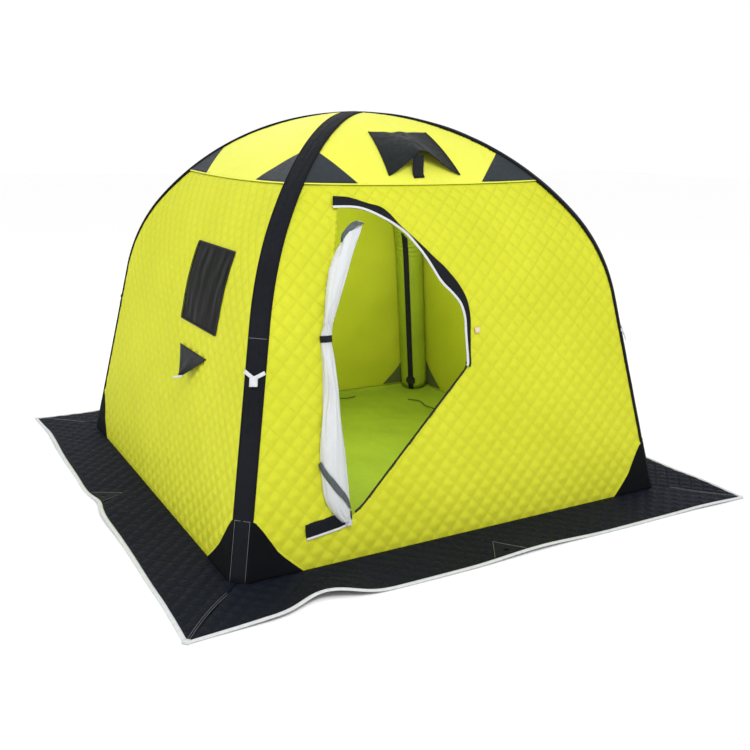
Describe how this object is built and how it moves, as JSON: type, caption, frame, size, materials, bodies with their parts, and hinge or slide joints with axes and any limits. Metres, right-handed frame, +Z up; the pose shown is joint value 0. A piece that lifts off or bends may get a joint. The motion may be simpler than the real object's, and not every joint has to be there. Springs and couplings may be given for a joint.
{
  "type": "inflatable ice fishing hut",
  "caption": "Square inflatable ice fishing hut with bent air beams, quilted yellow walls, a domed roof, side windows, vent hoods, a snow skirt and an open zipped doorway.",
  "frame": {"origin": "middle of the footprint, on the ground", "axes": "+Z up; the front wall with the doorway faces -Y; +X is to the right of someone who faces the doorway from outside"},
  "size_m": [2.75, 2.75, 1.75],
  "materials": {
    "floor_sheet": "coated woven sheet, satin",
    "beam_fabric": "taut coated nylon, satin",
    "sleeve_fabric": "plain woven polyester, matt",
    "wall_quilt": "quilted fluorescent oxford cloth, satin",
    "roof_fabric": "coated fluorescent oxford cloth, satin",
    "patch_fabric": "coated woven patch, matt",
    "skirt_quilt": "quilted polyester, matt",
    "binding": "folded webbing, matt",
    "window_film": "tinted flexible film, glossy",
    "door_lining": "white coated lining, satin",
    "webbing": "narrow webbing, matt",
    "guy_webbing": "white webbing with a plastic tab",
    "eyelet_plastic": "moulded, satin",
    "valve_plastic": "moulded, satin"
  },
  "bodies": {
    "root": {"floor": "floor_sheet", "crown_joint": "beam_fabric", "beam_front_left": "beam_fabric", "beam_front_right": "beam_fabric", "beam_back_right": "beam_fabric", "beam_back_left": "beam_fabric", "sleeve_front_left": "sleeve_fabric", "sleeve_front_right": "sleeve_fabric", "sleeve_back_right": "sleeve_fabric", "sleeve_back_left": "sleeve_fabric", "front_wall_hinge_side": "wall_quilt", "front_wall_head": "wall_quilt", "front_wall_zip_side": "wall_quilt", "front_wall_base": "wall_quilt", "right_wall": "wall_quilt", "back_wall": "wall_quilt", "left_wall": "wall_quilt", "roof_front": "roof_fabric", "roof_right": "roof_fabric", "roof_back": "roof_fabric", "roof_left": "roof_fabric", "gusset_front_left": "patch_fabric", "gusset_front_right": "patch_fabric", "gusset_back_right": "patch_fabric", "gusset_back_left": "patch_fabric", "boot_front_left": "patch_fabric", "boot_front_right": "patch_fabric", "boot_back_right": "patch_fabric", "boot_back_left": "patch_fabric", "skirt_front": "skirt_quilt", "skirt_right": "skirt_quilt", "skirt_back": "skirt_quilt", "skirt_left": "skirt_quilt", "skirt_binding": "binding", "window_left": "window_film", "window_right": "window_film", "window_borders": "patch_fabric", "roof_vents": "sleeve_fabric", "low_vents": "sleeve_fabric", "door_roll": "door_lining", "door_tie": "webbing", "storm_flap": "sleeve_fabric", "zip_tape": "webbing", "guy_loops": "guy_webbing", "peg_eyelets": "eyelet_plastic", "inflation_valve": "valve_plastic"}
  },
  "joints": []
}
